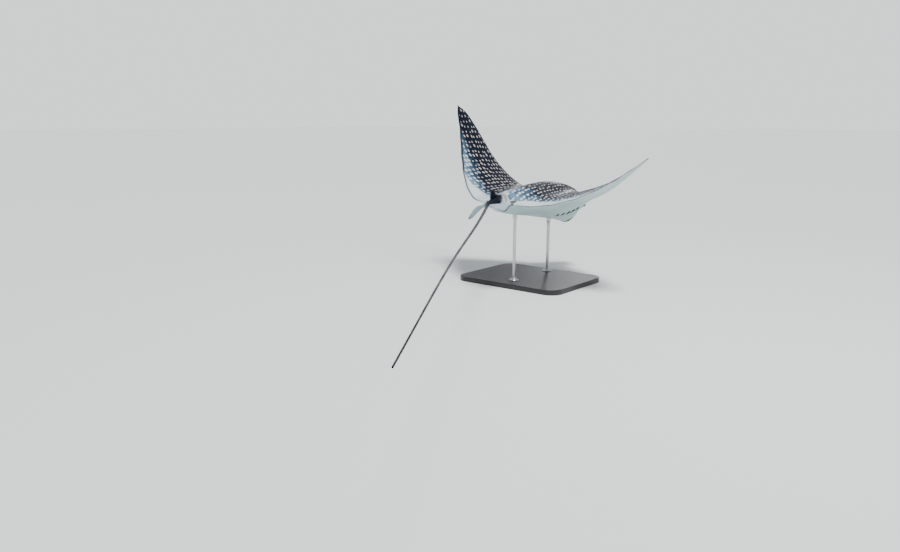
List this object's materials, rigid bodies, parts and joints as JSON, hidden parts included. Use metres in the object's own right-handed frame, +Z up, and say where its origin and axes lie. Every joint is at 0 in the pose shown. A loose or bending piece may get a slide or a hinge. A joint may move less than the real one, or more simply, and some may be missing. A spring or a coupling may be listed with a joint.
{
  "type": "spotted eagle ray model on a display stand",
  "caption": "Still life-size eagle ray in flight pose, wings raised unevenly, long whip tail trailing to one side, held over a flat base by two rods.",
  "frame": {"origin": "centre of the underside of the stand's base", "axes": "+Z up; the ray swims towards -Y and its left side is +X; the tail trails towards +Y and -X"},
  "size_m": [2.2013, 3.5306, 1.0905],
  "materials": {
    "skin": "smooth hide, near-black slate with white spots above and white below",
    "pelvic_skin": "smooth pale grey hide with dark edges",
    "tail_skin": "smooth near-black hide",
    "spine": "bone",
    "eye": "wet gloss",
    "stand_base": "satin black paint",
    "stand_rod": "brushed"
  },
  "bodies": {
    "root": {"head": "skin", "snout": "skin", "trunk": "skin", "wing_left_inner": "skin", "wing_left_middle": "skin", "wing_left_tip": "skin", "wing_right_inner": "skin", "wing_right_middle": "skin", "wing_right_tip": "skin", "pelvic_fin_left": "pelvic_skin", "pelvic_fin_right": "pelvic_skin", "dorsal_fin": "tail_skin", "tail_base": "tail_skin", "tail_1": "tail_skin", "tail_2": "tail_skin", "tail_3": "tail_skin", "tail_4": "tail_skin", "stinging_spine": "spine", "eye_left": "eye", "eye_right": "eye", "stand_base": "stand_base", "stand_rod_front": "stand_rod", "stand_rod_rear": "stand_rod"}
  },
  "joints": []
}
